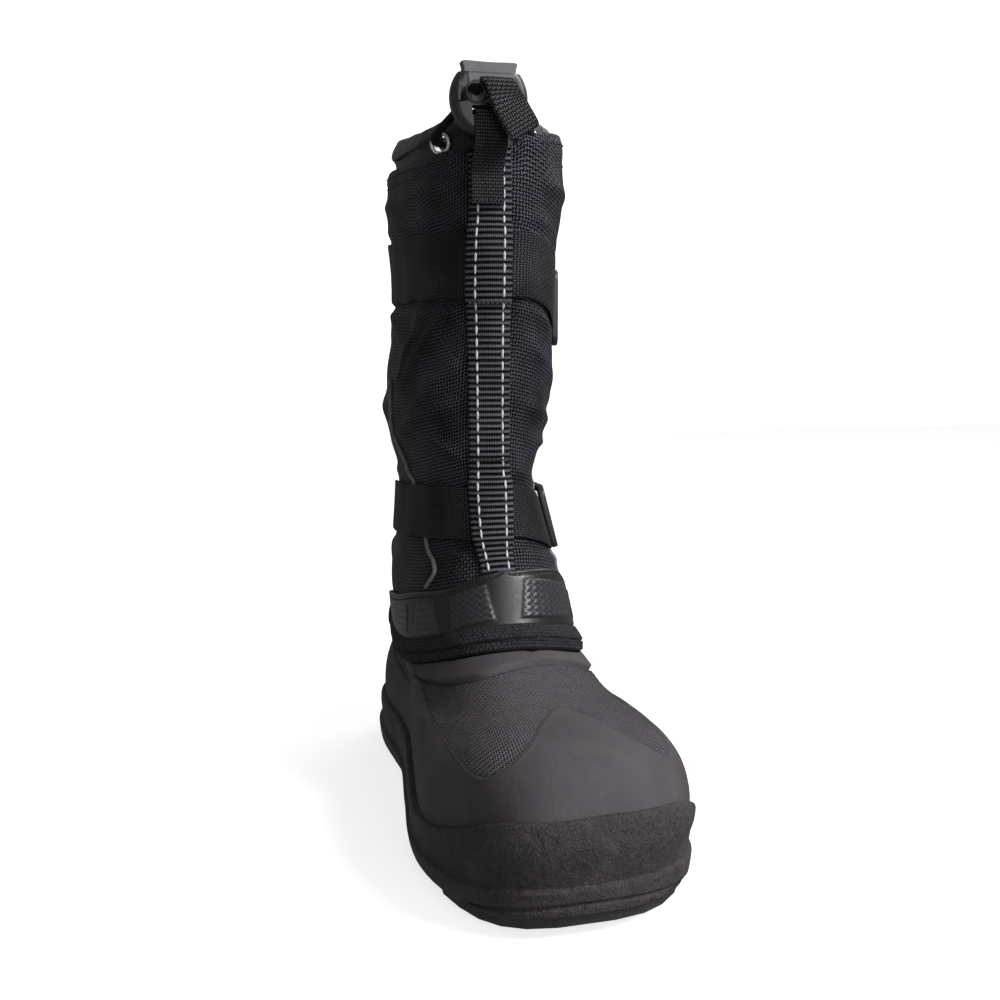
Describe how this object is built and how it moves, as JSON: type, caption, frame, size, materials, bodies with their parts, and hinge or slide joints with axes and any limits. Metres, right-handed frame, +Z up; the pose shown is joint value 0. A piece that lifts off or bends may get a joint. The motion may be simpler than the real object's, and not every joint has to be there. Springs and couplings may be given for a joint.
{
  "type": "snow boot",
  "caption": "Calf-high snow boot, left foot: rubber galosh and lugged sole, nylon shaft with ankle guard, two buckled straps, front spine and drawcord collar with push lock.",
  "frame": {"origin": "on the ground, under the middle of the boot's bounding box", "axes": "+Z up, -Y out of the toe, +X towards the lateral (outer) side of the left foot"},
  "size_m": [0.116, 0.2856, 0.3376],
  "materials": {
    "sole_rubber": "moulded matt rubber",
    "galosh_rubber": "smooth satin rubber with a woven imprint on the vamp",
    "insole_felt": "dark felt",
    "shaft_nylon": "coarse basket-weave nylon",
    "collar_nylon": "thin gathered nylon",
    "roll_knit": "padded knit",
    "guard_plastic": "moulded, with a checked weave imprint",
    "webbing": "ribbed woven webbing",
    "hardware_plastic": "moulded satin plastic",
    "eyelet_metal": "bright nickel",
    "cord": "round braided cord"
  },
  "bodies": {
    "root": {"outsole": "sole_rubber", "galosh": "galosh_rubber", "insole": "insole_felt", "shaft": "shaft_nylon", "snow_collar": "collar_nylon", "ankle_roll": "roll_knit", "ankle_guard": "guard_plastic", "upper_strap": "webbing", "lower_strap": "webbing", "spine_webbing": "webbing", "upper_buckle": "hardware_plastic", "lower_buckle": "hardware_plastic", "eyelet_medial": "eyelet_metal", "eyelet_lateral": "eyelet_metal", "lock_loop": "webbing", "cord_lock_body": "hardware_plastic", "drawcord_medial": "cord", "drawcord_lateral": "cord", "pull_tab": "webbing"},
    "lock_button": {"cord_lock_button": "hardware_plastic"}
  },
  "joints": [
    {"name": "lock_push", "type": "slide", "parent": "root", "child": "lock_button", "axis": [0, 0, -1], "range_m": [0, 0.004], "stiffness_N_per_m": 500}
  ]
}
